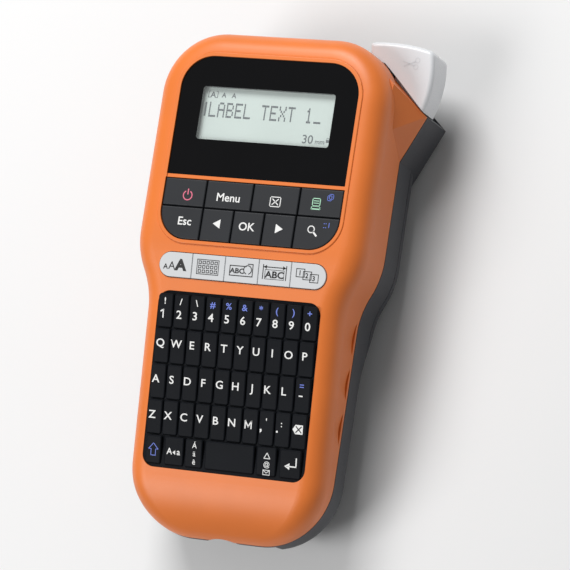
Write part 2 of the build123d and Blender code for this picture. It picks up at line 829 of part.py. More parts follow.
def next_centre(centre, teeth, other, direction):
    distance = gear_module * (teeth + other) / 2 + centre_slack
    return Vector(centre.X + distance * math.cos(direction), centre.Y + distance * math.sin(direction), 0)


def mesh_angle(teeth, angle, other, direction):
    """Angle of the other gear's tooth 0, so that it meshes with a gear turned to angle."""
    phase = teeth * (direction - angle) / (2 * math.pi)
    other_phase = 0.5 - phase
    return direction + math.pi - 2 * math.pi * other_phase / other


platen_angle = 0.0
idler_direction = math.radians(200)
idler_centre = next_centre(platen_centre, platen_teeth, idler_teeth, idler_direction)
idler_angle = mesh_angle(platen_teeth, platen_angle, idler_teeth, idler_direction)
reduction_direction = math.radians(180)
reduction_centre = next_centre(idler_centre, idler_teeth, pinion_teeth, reduction_direction)
reduction_angle = mesh_angle(idler_teeth, idler_angle, pinion_teeth, reduction_direction)
motor_direction = math.radians(200)
motor_centre = next_centre(reduction_centre, reduction_teeth, motor_teeth, motor_direction)
motor_angle = mesh_angle(reduction_teeth, reduction_angle, motor_teeth, motor_direction)
ribbon_direction = math.radians(235)
ribbon_centre = next_centre(idler_centre, idler_teeth, ribbon_teeth, ribbon_direction)
ribbon_angle = mesh_angle(idler_teeth, idler_angle, ribbon_teeth, ribbon_direction)
motor_layer = gear_layer + gear_width + 0.5
motor_layer_width = 3.2
chassis_top = chassis_z + chassis_thickness
ribbon_shaft = 2.0
stud_radius = 1.5


def chassis():
    outline = offset(plan_face(), -wall - 1.0) & rectangle(-head_half, head_half, bend_y - 0.8, top_y - 11.4)
    outline -= offset(pocket_face(), pocket_wall + 0.5)
    plate = slab(outline, chassis_z, chassis_top)
    for x, y in chassis_posts:
        plate -= rod(x, y, 0, 40, screw_radius + screw_clearance)
    plate -= rod(platen_centre.X, platen_centre.Y, 0, 40, shaft_radius + running_clearance)
    plate -= rod(ribbon_centre.X, ribbon_centre.Y, 0, 40, ribbon_shaft + running_clearance)
    plate -= rod(*lever_pivot, 0, 40, lever_pin_radius)
    for centre, high in ((idler_centre, gear_layer + gear_width), (reduction_centre, motor_layer + motor_layer_width)):
        plate += rod(centre.X, centre.Y, chassis_z, high + 0.2, stud_radius)
        plate += rod(centre.X, centre.Y, chassis_z, gear_layer - 0.2, stud_radius + 1.2)
    plate += rod(*roll_centre, chassis_z - 3.0, chassis_z, 4.0)
    return plate


def idler_gear():
    blank = gear(idler_teeth, idler_centre, idler_angle, gear_layer, gear_width)
    return blank - rod(idler_centre.X, idler_centre.Y, 0, 60, stud_radius + running_clearance)


def reduction_gear():
    small = gear(pinion_teeth, reduction_centre, reduction_angle, gear_layer, gear_width + 0.5)
    large = gear(reduction_teeth, reduction_centre, reduction_angle, motor_layer, motor_layer_width)
    return small + large - rod(reduction_centre.X, reduction_centre.Y, 0, 60, stud_radius + running_clearance)


motor_shaft = 1.0


def drive_motor():
    x, y = motor_centre.X, motor_centre.Y
    can = rod(x, y, chassis_top, gear_layer + 3.4, motor_radius)
    can = fillet([e for e in can.edges() if e.center().Z > gear_layer], 0.8)
    can += rod(x, y, gear_layer, gear_layer + 3.9, 2.6)
    return can - rod(x, y, chassis_top + 1, 60, motor_shaft + running_clearance)


def motor_pinion():
    x, y = motor_centre.X, motor_centre.Y
    pinion = gear(motor_teeth, motor_centre, motor_angle, motor_layer, motor_layer_width)
    return pinion + rod(x, y, chassis_top + 1.2, motor_layer + motor_layer_width + 0.6, motor_shaft)


rubber_low = tape_low - 0.5
rubber_high = tape_low + tape_width + 0.5


def platen_shaft():
    x, y = platen_centre.X, platen_centre.Y
    shaft = rod(x, y, rubber_low - 1.3, gear_layer + gear_width + 0.2, shaft_radius)
    return shaft + gear(platen_teeth, platen_centre, platen_angle, gear_layer, gear_width)


def platen_rubber():
    x, y = platen_centre.X, platen_centre.Y
    return rod(x, y, rubber_low, rubber_high, platen_radius) - rod(x, y, 0, 60, shaft_radius)


def ribbon_spindle():
    x, y = ribbon_centre.X, ribbon_centre.Y
    shaft = rod(x, y, tape_low, gear_layer + gear_width + 0.2, ribbon_shaft)
    for fin in range(6):
        shaft += Pos(x, y, 0) * Rot(0, 0, fin * 60) * block(0, ribbon_shaft + 0.7, -0.4, 0.4, tape_low, cassette_z + cassette_thickness - 1)
    return shaft + gear(ribbon_teeth, ribbon_centre, ribbon_angle, gear_layer, gear_width)


def along_tape(n0, n1, t0, t1, z0, z1):
    """Block aligned with the tape: n along its travel from the printing line, t across it."""
    corners = [(n0, t0), (n1, t0), (n1, t1), (n0, t1)]
    face = polygon([to_tuple(print_line + out_of_end * n + along_end * t) for n, t in corners])
    return slab(face, z0, z1)


head_face = 0.15


def print_head():
    return along_tape(-5, 4.5, head_face, head_face + 1.0, rubber_low, rubber_high)


def head_heatsink():
    back = head_face + 1.05
    plate = along_tape(-6.5, 3.5, back, back + 1.8, rubber_low + 2.5, chassis_z)
    return plate + along_tape(-6.5, 1.0, back, back + 2.6, chassis_z - 2.0, chassis_z)


# ---------------------------------------------------------------- tape cassette
def cassette_face():
    face = rectangle(cassette_left, cassette_right, cassette_low, cassette_high)
    face = fillet(face.vertices(), 3.0)
    far = 2 * body_length
    edge = print_line - out_of_end * cassette_back
    return face - polygon([
        to_tuple(edge - along_end * far),
        to_tuple(edge + along_end * far),
        to_tuple(edge + along_end * far + out_of_end * far),
        to_tuple(edge - along_end * far + out_of_end * far),
    ])


def cassette_case():
    high = cassette_z + cassette_thickness
    shell = slab(cassette_face(), cassette_z, high)
    shell -= slab(offset(cassette_face(), -cassette_wall), cassette_z + cassette_wall, high - cassette_wall)
    shell -= rod(ribbon_centre.X, ribbon_centre.Y, cassette_z + cassette_wall, high + 1, ribbon_shaft + 1.4)
    shell -= rod(*roll_centre, high - 2 * cassette_wall, high + 1, 5.0)
    shell += rod(*roll_centre, cassette_z, high - 4.2, 3.0)
    return shell - along_tape(-cassette_back - 6, -cassette_back + 2, -1.2, 1.2, tape_low - 0.6, tape_low + tape_width + 0.6)


def tape_roll():
    core = rod(*roll_centre, tape_low - 0.4, tape_low + tape_width + 0.4, 6.0)
    tape = rod(*roll_centre, tape_low, tape_low + tape_width, roll_radius)
    return core + tape - rod(*roll_centre, 0, 40, 3.0 + running_clearance)


# ---------------------------------------------------------------- cutter lever
def lever_outline():
    """Seen from the front: end face beside the wing, a stepped inner side, and the outer grip."""
    inner_gap = 0.5
    inner_shift = 1.5
    tip = to_tuple(slot_centre + along_end * (slot_from_tip - 1.1) + out_of_end * inner_gap)
    root = to_tuple(slot_centre - along_end * 10.2 + out_of_end * inner_shift)
    step_right = (head_half - 9.3, top_y - 5.5)
    step_left = (head_half - 16.2, top_y - 3.2)
    top_left = (head_half - 16.6, top_y + 2.9)
    top_right = (head_half + 10.9, top_y + 0.6)
    face = make_face([
        Line(tip, root),
        Line(root, step_right),
        Line(step_right, step_left),
        Line(step_left, top_left),
        ThreePointArc(top_left, (head_half - 2.3, top_y + 3.0), top_right),
        ThreePointArc(top_right, (head_half + 11.4, top_y - 11.4), tip),
    ])
    face = fillet([v for v in face.vertices() if math.dist((v.X, v.Y), top_right) < 0.01], lever_corner)
    return fillet([v for v in face.vertices() if math.dist((v.X, v.Y), top_left) < 0.01], 1.2)


def lever_body():
    solid = slab(lever_outline(), lever_bottom, lever_top + 5)
    fall = math.degrees(math.atan(lever_fall))
    top_plane = Plane(origin=(0, top_y, lever_top)).rotated((fall, 0, 0))
    solid -= top_plane * (Pos(0, 0, 20) * Box(300, 300, 40))
    grip_faces = [f for f in solid.faces() if f.geom_type == GeomType.CYLINDER]
    grip_edges = [e for f in grip_faces for e in f.edges() if abs(e.tangent_at(0.5).Z) < 0.6]
    solid = fillet([e for e in grip_edges if e.center().Z > lever_bottom + 8], lever_front_round)
    grip_edges = [e for e in solid.edges() if abs(e.center().Z - lever_bottom) < 0.01 and e.geom_type == GeomType.CIRCLE]
    return fillet(grip_edges, lever_back_round)


def cutter_lever():
    high = arm_bottom + arm_thickness
    arm = slab(arm_face(), arm_bottom, high)
    lever = lever_body() + arm + rod(*lever_pivot, arm_bottom, high, 3.6)
    lever -= rod(*lever_pivot, 0, 60, lever_pin_radius + running_clearance)
    return lever


def lever_pin():
    high = arm_bottom + arm_thickness
    return rod(*lever_pivot, chassis_z, high + 0.3, lever_pin_radius) + rod(*lever_pivot, high + 0.2, high + 0.9, 2.6)


blade_lead = 0.8


def cutter_blade():
    corners = [(-4.2, blade_lead), (-3.6, blade_lead), (-3.6, blade_lead + 2.8), (-4.2, blade_lead + 2.8)]
    face = polygon([to_tuple(slot_centre + out_of_end * n + along_end * t) for n, t in corners])
    return slab(face, slot_bottom, arm_bottom)


def coil(centre, radius, wire, length, turns, direction):
    """Round-wire spring that starts at centre and runs along direction."""
    path = Helix(length / turns, length - 2 * wire, radius)
    plane = Plane(origin=path @ 0, z_dir=path % 0)
    spring = sweep(plane * Circle(wire), path)
    return Plane(origin=centre, z_dir=direction) * (Pos(0, 0, wire) * spring)


lever_spring_at = (head_half - 14.2, top_y - 22.4, arm_bottom + arm_thickness / 2)


def lever_spring():
    return coil(lever_spring_at, 1.2, 0.2, 5.2, 5, (1, 0, 0))


# ---------------------------------------------------------------- power
cell_top = cell_end + cell_length + cell_nub


def battery(index):
    """One AAA cell; neighbours point opposite ways."""
    x = (index - (cell_count - 1) / 2) * cell_pitch
    can = Pos(x, cell_end + cell_length / 2, cell_z) * Rot(90, 0, 0) * Cylinder(cell_radius, cell_length)
    can = fillet(can.edges().filter_by(GeomType.CIRCLE), 0.4)
    nub_up = index % 2 == 0
    shift = 0 if nub_up else cell_nub
    nub_y = cell_end + cell_length + cell_nub / 2 if nub_up else cell_end + cell_nub / 2
    nub = Pos(x, nub_y, cell_z) * Rot(90, 0, 0) * Cylinder(cell_nub_radius, cell_nub)
    return Pos(0, shift, 0) * can + nub


contact = 0.4
contact_low_y = cell_end - spring_length - contact
contact_high_y = cell_top + 0.1


def battery_tray():
    half = cell_pitch * cell_count / 2 + 0.6
    low_y = contact_low_y
    high_y = contact_high_y + contact
    deck = block(-half - tray_wall, half + tray_wall, low_y - tray_wall, high_y + tray_wall, tray_z, tray_z + board_thickness)
    rail = block(-half - tray_wall, half + tray_wall, low_y - tray_wall, high_y + tray_wall, 12.6, tray_z)
    rail -= block(-half, half, low_y, high_y, 0, tray_z)
    tray = deck + rail
    for x, y in tray_end_posts + tray_side_posts:
        near = low_y if y < low_y else high_y
        tray += block(x - 4, x + 4, min(y, near), max(y, near), tray_z, tray_z + board_thickness)
        tray += rod(x, y, tray_z, tray_z + board_thickness, 4.0)
        tray -= rod(x, y, 0, 60, screw_radius + screw_clearance)
    return tray


def battery_contacts():
    """Plates that join the cells in series: three pairs below, and two pairs and two ends above."""
    plates = []
    half_cell = 4.2
    for pair in range(cell_count // 2):
        middle = (2 * pair + 1 - cell_count / 2) * cell_pitch
        reach = cell_pitch / 2 + half_cell
        plates.append(block(middle - reach, middle + reach, contact_low_y, contact_low_y + contact, 12.8, 20.6))
    for x0, x1 in ((-2.5, -2.5), (-1.5, -0.5), (0.5, 1.5), (2.5, 2.5)):
        plates.append(block(x0 * cell_pitch - half_cell, x1 * cell_pitch + half_cell, contact_high_y, contact_high_y + contact, 12.8, 20.6))
    return Compound(plates)


def battery_springs():
    springs = []
    for index in range(cell_count):
        x = (index - (cell_count - 1) / 2) * cell_pitch
        springs.append(coil((x, contact_low_y + contact, cell_z), 2.6, 0.25, spring_length, 4, (0, 1, 0)))
    return Compound(springs)


jack_outer = 4.3
jack_length = 11.0
jack_mouth = -top_y + recess_depth + 0.4


def dc_inlet():
    middle = jack_mouth + jack_length / 2
    barrel = Pos(jack_x, middle, jack_z) * Rot(90, 0, 0) * Cylinder(jack_outer, jack_length)
    barrel += block(jack_x - 4.6, jack_x + 4.6, jack_mouth + 4.5, jack_mouth + jack_length, jack_z - 5, jack_z + 5)
    bore = Pos(jack_x, jack_mouth + jack_bore_length / 2, jack_z) * Rot(90, 0, 0) * Cylinder(jack_bore, jack_bore_length)
    deep = Pos(jack_x, jack_mouth + 6.5, jack_z) * Rot(90, 0, 0) * Cylinder(jack_bore - 0.4, 5.0)
    pin = Pos(jack_x, jack_mouth + 7.8, jack_z) * Rot(90, 0, 0) * Cylinder(jack_pin, 5.0)
    return barrel - bore - deep + pin


# ---------------------------------------------------------------- screws
def screws(places, seat, length):
    """Pan-head screws that go up into the posts; seat is where the head bears."""
    shapes = []
    for x, y in places:
        head = rod(x, y, seat - 1.9, seat, 2.6)
        head = fillet([e for e in head.edges() if e.center().Z < seat - 1.8], 0.6)
        cross = block(x - 1.5, x + 1.5, y - 0.3, y + 0.3, seat - 2.5, seat - 1.0)
        cross += block(x - 0.3, x + 0.3, y - 1.5, y + 1.5, seat - 2.5, seat - 1.0)
        shapes.append(head + rod(x, y, seat - 0.1, seat + length, screw_radius) - cross)
    return Compound(shapes)


# ---------------------------------------------------------------- write every piece
save(front_case(), "front_case")
save(rear_case(), "rear_case")
save(back_cover(), "back_cover")
save(display_window(), "display_window")
save(window_lens(), "window_lens")
save(lcd_panel(), "lcd_panel")
save(lcd_frame(), "lcd_frame")
for name, cell in zip(control_names, control_cells()):
    save(control_key(*cell), f"key_{name}")
strip_edges = [-strip_half, *strip_splits, strip_half]
for name, left, right in zip(strip_names, strip_edges, strip_edges[1:]):
    save(strip_key(left, right), f"strip_key_{name}")
save(keypad_mat(), "keypad_mat")
save(dome_sheet(), "control_dome_sheet")
save(strip_sheet(), "strip_dome_sheet")
save(main_board(), "main_board")
save(key_board(), "key_board")
save(board_chips(), "board_chips")
save(chassis(), "mechanism_chassis")
save(drive_motor(), "drive_motor")
save(motor_pinion(), "motor_pinion")
save(reduction_gear(), "reduction_gear")
save(idler_gear(), "idler_gear")
save(platen_shaft(), "platen_shaft")
save(platen_rubber(), "platen_rubber")
save(ribbon_spindle(), "ribbon_spindle")
save(print_head(), "print_head")
save(head_heatsink(), "head_heatsink")
save(cassette_case(), "cassette_case")
save(tape_roll(), "tape_roll")
save(cutter_lever(), "cutter_lever")
save(lever_pin(), "lever_pin")
save(lever_spring(), "lever_spring")
save(cutter_blade(), "cutter_blade")
for number in range(cell_count):
    save(battery(number), f"battery_{number + 1}")
save(battery_tray(), "battery_tray")
save(battery_contacts(), "battery_contacts")
save(battery_springs(), "battery_springs")
save(dc_inlet(), "dc_inlet")
save(screws(case_posts, ear_z, 12), "case_screws")
save(screws(chassis_posts, chassis_z, 8), "chassis_screws")
save(screws(tray_end_posts + tray_side_posts, tray_z, 8), "tray_screws")
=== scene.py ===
import json
import math

import bpy
from mathutils import Matrix, Vector
from mathutils.bvhtree import BVHTree


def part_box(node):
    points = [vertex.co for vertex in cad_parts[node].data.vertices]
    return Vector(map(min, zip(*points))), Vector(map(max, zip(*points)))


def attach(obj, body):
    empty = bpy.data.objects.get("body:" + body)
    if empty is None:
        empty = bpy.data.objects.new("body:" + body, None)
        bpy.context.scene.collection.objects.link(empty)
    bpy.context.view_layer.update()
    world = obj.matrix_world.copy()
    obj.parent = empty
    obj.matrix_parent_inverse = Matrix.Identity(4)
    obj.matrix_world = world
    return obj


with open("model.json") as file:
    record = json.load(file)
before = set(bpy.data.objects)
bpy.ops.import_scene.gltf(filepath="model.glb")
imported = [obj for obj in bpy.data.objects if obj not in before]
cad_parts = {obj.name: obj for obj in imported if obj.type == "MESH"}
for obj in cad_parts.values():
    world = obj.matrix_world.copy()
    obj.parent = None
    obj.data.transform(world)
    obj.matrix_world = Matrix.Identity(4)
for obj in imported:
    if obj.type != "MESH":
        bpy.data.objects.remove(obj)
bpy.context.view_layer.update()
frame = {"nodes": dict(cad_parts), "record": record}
MM = 0.001


# ---------------------------------------------------------------- materials
def linear(red, green, blue):
    """Linear colour from screen values out of 255."""
    shares = [c / 255 for c in (red, green, blue)]
    return tuple(((c + 0.055) / 1.055) ** 2.4 if c > 0.0405 else c / 12.92 for c in shares)


def link(tree, a, a_name, b, b_name):
    tree.links.new(a.outputs[a_name], b.inputs[b_name])


def noise(tree, coord, scale, detail, stretch=(1, 1, 1)):
    mapping = tree.nodes.new("ShaderNodeMapping")
    mapping.inputs["Scale"].default_value = stretch
    link(tree, coord, "Object", mapping, "Vector")
    texture = tree.nodes.new("ShaderNodeTexNoise")
    texture.inputs["Scale"].default_value = scale
    texture.inputs["Detail"].default_value = detail
    link(tree, mapping, "Vector", texture, "Vector")
    return texture


def surface(name, colour, rough, metal=0.0, mottle=0.05, grain=1500, depth=0.03, stretch=(1, 1, 1), coat=0.0,
            alpha=1.0, broad=45, spread=0.08, specular=0.5):
    """A moulded, painted or metal finish: mottled colour, uneven gloss and a fine grain."""
    material = bpy.data.materials.new(name)
    material.use_nodes = True
    tree = material.node_tree
    shader = tree.nodes["Principled BSDF"]
    coord = tree.nodes.new("ShaderNodeTexCoord")
    wide = noise(tree, coord, broad, 4.0, stretch)
    tint = tree.nodes.new("ShaderNodeValToRGB")
    tint.color_ramp.elements[0].position = 0.3
    tint.color_ramp.elements[1].position = 0.7
    tint.color_ramp.elements[0].color = (*[c * (1 - mottle) for c in colour], 1)
    tint.color_ramp.elements[1].color = (*[min(1, c * (1 + mottle)) for c in colour], 1)
    link(tree, wide, "Fac", tint, "Fac")
    link(tree, tint, "Color", shader, "Base Color")
    fine = noise(tree, coord, grain, 2.0, stretch)
    gloss = tree.nodes.new("ShaderNodeMapRange")
    gloss.inputs["To Min"].default_value = max(0.02, rough - spread)
    gloss.inputs["To Max"].default_value = min(1.0, rough + spread)
    link(tree, fine, "Fac", gloss, "Value")
    link(tree, gloss, "Result", shader, "Roughness")
    bump = tree.nodes.new("ShaderNodeBump")
    bump.inputs["Strength"].default_value = 0.5
    bump.inputs["Distance"].default_value = depth * MM
    link(tree, fine, "Fac", bump, "Height")
    link(tree, bump, "Normal", shader, "Normal")
    shader.inputs["Metallic"].default_value = metal
    shader.inputs["Coat Weight"].default_value = coat
    shader.inputs["Coat Roughness"].default_value = 0.08
    shader.inputs["Alpha"].default_value = alpha
    shader.inputs["Specular IOR Level"].default_value = specular
    return material


def banded(material, axis, edges, colours):
    """Replace the mottled colour with bands along one axis, in millimetres, for a printed jacket."""
    tree = material.node_tree
    shader = tree.nodes["Principled BSDF"]
    coord = [n for n in tree.nodes if n.type == "TEX_COORD"][0]
    split = tree.nodes.new("ShaderNodeSeparateXYZ")
    link(tree, coord, "Object", split, "Vector")
    place = tree.nodes.new("ShaderNodeMapRange")
    place.inputs["From Min"].default_value = edges[0] * MM
    place.inputs["From Max"].default_value = edges[-1] * MM
    link(tree, split, axis, place, "Value")
    ramp = tree.nodes.new("ShaderNodeValToRGB")
    ramp.color_ramp.interpolation = "CONSTANT"
    span = edges[-1] - edges[0]
    ramp.color_ramp.elements[0].color = (*colours[0], 1)
    ramp.color_ramp.elements[1].position = (edges[1] - edges[0]) / span
    ramp.color_ramp.elements[1].color = (*colours[1], 1)
    link(tree, place, "Result", ramp, "Fac")
    link(tree, ramp, "Color", shader, "Base Color")
    return material


def traced(material, colour):
    """Copper tracks under the board's solder mask."""
    tree = material.node_tree
    shader = tree.nodes["Principled BSDF"]
    coord = [n for n in tree.nodes if n.type == "TEX_COORD"][0]
    bricks = tree.nodes.new("ShaderNodeTexBrick")
    bricks.inputs["Scale"].default_value = 160.0
    bricks.inputs["Mortar Size"].default_value = 0.09
    bricks.inputs["Color1"].default_value = (*colour, 1)
    bricks.inputs["Color2"].default_value = (*[c * 0.8 for c in colour], 1)
    bricks.inputs["Mortar"].default_value = (*[min(1, c * 1.9 + 0.02) for c in colour], 1)
    link(tree, coord, "Object", bricks, "Vector")
    link(tree, bricks, "Color", shader, "Base Color")
    return material


cell = surface("cell_jacket", linear(40, 44, 52), 0.28, coat=0.4)
board = surface("board_mask", linear(28, 112, 60), 0.35, coat=0.3)
FINISHES = {
    "orange_shell": surface("orange_plastic", linear(229, 122, 52), 0.4, mottle=0.035, grain=2600),
    "dark_shell": surface("dark_plastic", linear(56, 58, 63), 0.5, mottle=0.08, grain=2400, depth=0.04),
    "dark_key": surface("key_rubber", linear(34, 36, 40), 0.5, mottle=0.1, grain=2200, depth=0.02,
                        specular=0.35),
    "white_key": surface("white_key_plastic", linear(205, 207, 209), 0.38, mottle=0.02, grain=2000,
                         depth=0.01),
    "black_window": surface("window_black", linear(8, 8, 10), 0.07, mottle=0.15, depth=0.001, spread=0.02,
                            specular=0.4),
    "clear_lens": surface("window_clear", linear(235, 242, 240), 0.06, depth=0.001, alpha=0.1, spread=0.03),
    "lcd_glass": surface("lcd_film", linear(203, 215, 210), 0.45, mottle=0.03, broad=30, depth=0.002,
                         specular=0.3),
    "frame_plastic": surface("frame_plastic", linear(60, 62, 66), 0.5, mottle=0.1),
    "dome_rubber": surface("dome_rubber", linear(176, 178, 180), 0.6, mottle=0.06),
    "board": traced(board, linear(24, 100, 52)),
    "chip": surface("chip_resin", linear(34, 34, 36), 0.55, mottle=0.12),
    "mechanism_plastic": surface("mechanism_plastic", linear(196, 196, 190), 0.45),
    "gear_plastic": surface("gear_acetal", linear(228, 226, 214), 0.33),
    "steel": surface("ground_steel", linear(176, 178, 182), 0.28, metal=1.0, stretch=(1, 1, 12), grain=900),
    "zinc": surface("bright_zinc", linear(188, 190, 196), 0.3, metal=1.0, mottle=0.12, broad=400),
    "motor_can": surface("plated_can", linear(160, 162, 168), 0.32, metal=1.0, stretch=(1, 1, 14), grain=700),
    "platen": surface("platen_rubber", linear(48, 48, 52), 0.7, mottle=0.1),
    "head_ceramic": surface("head_ceramic", linear(224, 216, 190), 0.25, coat=0.5),
    "heatsink": surface("mill_aluminium", linear(190, 192, 194), 0.35, metal=1.0, stretch=(14, 1, 1),
                        grain=600),
    "cassette": surface("cassette_plastic", linear(74, 74, 80), 0.35, mottle=0.08),
    "tape": surface("tape_film", linear(240, 240, 232), 0.3, mottle=0.03, stretch=(1, 1, 10), grain=800),
    "lever_plastic": surface("lever_plastic", linear(228, 230, 233), 0.3, mottle=0.02, grain=1800,
                             depth=0.012, coat=0.15),
    "cell_jacket": banded(cell, "Y", [-72, -38, -27], [linear(34, 38, 46), linear(186, 128, 70)]),
    "jack_plastic": surface("inlet_plastic", linear(24, 24, 26), 0.45, mottle=0.15),
}
for part in frame["record"]["subparts"]:
    mesh = frame["nodes"][part["node"]].data
    mesh.materials.clear()
    mesh.materials.append(FINISHES[part["material_slot"]])
keypad_rubber = surface("keypad_rubber", linear(21, 23, 27), 0.38, mottle=0.12, grain=2200, depth=0.012,
                        specular=0.04)
frame["nodes"]["keypad_mat"].data.materials[0] = keypad_rubber

WHITE = surface("legend_white", linear(236, 236, 234), 0.5, mottle=0.03, broad=300)
BLUE = surface("legend_blue", linear(104, 124, 214), 0.5, mottle=0.05, broad=300)
PINK = surface("legend_pink", linear(224, 112, 138), 0.5, mottle=0.05, broad=300)
GREEN = surface("legend_green", linear(172, 222, 190), 0.5, mottle=0.05, broad=300)
BLACK = surface("legend_black", linear(26, 26, 28), 0.55, mottle=0.1, broad=300)
SEGMENT = surface("lcd_segment", linear(48, 56, 66), 0.5, mottle=0.1, broad=300)
# painted shade: the lever's white made a little darker, standing in for the shading of the raised scissors
SCISSORS_SHADE = surface("lever_scissors_painted_shade", linear(219, 221, 224), 0.35, mottle=0.03)


# ---------------------------------------------------------------- printed shapes
GLYPHS = {}


def glyph(text, weight):
    """Flat outline of some text at size 1: its points and faces."""
    if (text, weight) not in GLYPHS:
        curve = bpy.data.curves.new("glyph", "FONT")
        curve.body = text
        curve.offset = weight
        curve.resolution_u = 3
        holder = bpy.data.objects.new("glyph", curve)
        mesh = holder.to_mesh()
        points = [(v.co.x, v.co.y) for v in mesh.vertices]
        GLYPHS[text, weight] = (points, [tuple(p.vertices) for p in mesh.polygons])
        holder.to_mesh_clear()
        bpy.data.objects.remove(holder)
        bpy.data.curves.remove(curve)
    return GLYPHS[text, weight]


CAPITAL_HEIGHT = max(y for _, y in glyph("H", 0.0)[0])


class Print:
    """Flat shapes of one ink on a CAD node, in millimetres from the middle of the node's box."""

    def __init__(self, node):
        self.node = node
        low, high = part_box(node)
        self.centre_x = (low.x + high.x) / 2 / MM
        self.centre_y = (low.y + high.y) / 2 / MM
        self.points = []
        self.faces = []

    def poly(self, points):
        first = len(self.points)
        self.points += points
        self.faces.append(tuple(range(first, first + len(points))))

    def box(self, x, y, width, height):
        w, h = width / 2, height / 2
        self.poly([(x - w, y - h), (x + w, y - h), (x + w, y + h), (x - w, y + h)])

    def line(self, points, width, closed=False):
        ends = list(points) + ([points[0]] if closed else [])
        for (x0, y0), (x1, y1) in zip(ends, ends[1:]):
            length = math.hypot(x1 - x0, y1 - y0)
            ux, uy = (x1 - x0) / length * width / 2, (y1 - y0) / length * width / 2
            self.poly([(x0 - ux + uy, y0 - uy - ux), (x1 + ux + uy, y1 + uy - ux),
                       (x1 + ux - uy, y1 + uy + ux), (x0 - ux - uy, y0 - uy + ux)])

    def frame(self, x, y, width, height, stroke):
        w, h = width / 2, height / 2
        self.line([(x - w, y - h), (x + w, y - h), (x + w, y + h), (x - w, y + h)], stroke, closed=True)

    def ring(self, x, y, radius, stroke, start=0, end=360, steps=28):
        inner, outer = radius - stroke / 2, radius + stroke / 2
        for step in range(steps):
            a, b = (math.radians(start + (end - start) * s / steps) for s in (step, step + 1))
            corners = ((inner, a), (outer, a), (outer, b), (inner, b))
            self.poly([(x + r * math.cos(turn), y + r * math.sin(turn)) for r, turn in corners])

    def text(self, x, y, text, height, weight=0.012, squeeze=1.0):
        points, faces = glyph(text, weight)
        scale = height / CAPITAL_HEIGHT
        middle = (min(p[0] for p in points) + max(p[0] for p in points)) / 2
        first = len(self.points)
        self.points += [(x + (px - middle) * scale * squeeze, y + py * scale - height / 2)
                        for px, py in points]
        self.faces += [tuple(first + i for i in face) for face in faces]

    def lay(self, name, material, body, lift=0.05):
        """Make the piece, lying on the node's upper surface and moving with the body."""
        mesh = frame["nodes"][self.node].data
        tree = BVHTree.FromPolygons([v.co for v in mesh.vertices], [tuple(p.vertices) for p in mesh.polygons])
        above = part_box(self.node)[1].z + 0.01
        places = [((self.centre_x + x) * MM, (self.centre_y + y) * MM) for x, y in self.points]
        hits = [tree.ray_cast(Vector((x, y, above)), Vector((0, 0, -1)))[0] for x, y in places]
        known = [hit.z for hit in hits if hit]
        level = sum(known) / len(known)
        data = bpy.data.meshes.new(name)
        data.from_pydata([(x, y, (hit.z if hit else level) + lift * MM) for (x, y), hit in zip(places, hits)],
                         [], self.faces)
        data.materials.append(material)
        piece = bpy.data.objects.new(name, data)
        bpy.context.scene.collection.objects.link(piece)
        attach(piece, body)
        return piece


# ---------------------------------------------------------------- control keys
CONTROL_TEXT = 3.2


def control_legends():
    ink = Print("key_power")
    ink.ring(1.95, -1.6, 1.9, 0.45, 120, 420)
    ink.box(1.95, -0.1, 0.5, 2.4)
    ink.lay("legend_power", PINK, "key_power")

    ink = Print("key_menu")
    ink.text(-0.05, -1.3, "Menu", CONTROL_TEXT)
    ink.lay("legend_menu", WHITE, "key_menu")

    ink = Print("key_clear")
    ink.frame(0.05, -1.5, 4.4, 3.9, 0.35)
    ink.line([(-1.15, -2.6), (1.25, -0.4)], 0.4)
    ink.line([(-1.15, -0.4), (1.25, -2.6)], 0.4)
    ink.lay("legend_clear", WHITE, "key_clear")

    ink = Print("key_print")
    ink.frame(-2.25, -0.3, 3.2, 3.0, 0.35)
    for y in (0.2, -0.7):
        ink.line([(-3.25, y), (-1.25, y)], 0.3)
    ink.line([(-4.05, -3.1), (-0.45, -3.1)], 0.5)
    ink.line([(-4.05, -3.1), (-4.05, -2.0), (-0.45, -2.0), (-0.45, -3.1)], 0.3)
    ink.lay("legend_print", GREEN, "key_print")
    ink = Print("key_print")
    for x, y in ((3.15, 1.7), (3.85, 2.3)):
        ink.frame(x, y, 1.7, 2.0, 0.25)
    ink.lay("legend_preview", BLUE, "key_print")

    ink = Print("key_escape")
    ink.text(2.45, 1.2, "Esc", CONTROL_TEXT)
    ink.lay("legend_escape", WHITE, "key_escape")
    for name, x, side in (("left", 0.1, -1), ("right", 0.2, 1)):
        ink = Print(f"key_{name}")
        base = x - side * 1.5
        ink.poly([(x + side * 1.7, 1.1), (base, 1.1 + side * 1.9), (base, 1.1 - side * 1.9)])
        ink.lay(f"legend_{name}", WHITE, f"key_{name}")
    ink = Print("key_ok")
    ink.text(-0.2, 0.9, "OK", CONTROL_TEXT)
    ink.lay("legend_ok", WHITE, "key_ok")

    ink = Print("key_find")
    ink.ring(-2.65, 2.0, 1.35, 0.4)
    ink.line([(-1.65, 1.0), (-0.25, -0.4)], 0.7)
    ink.lay("legend_find", WHITE, "key_find")
    ink = Print("key_find")
    for x in (2.55, 3.35):
        for y in (4.7, 3.1):
            ink.box(x, y, 0.45, 0.3)
    ink.line([(4.65, 3.3), (4.65, 5.0)], 0.3)
    ink.lay("legend_jump", BLUE, "key_find")


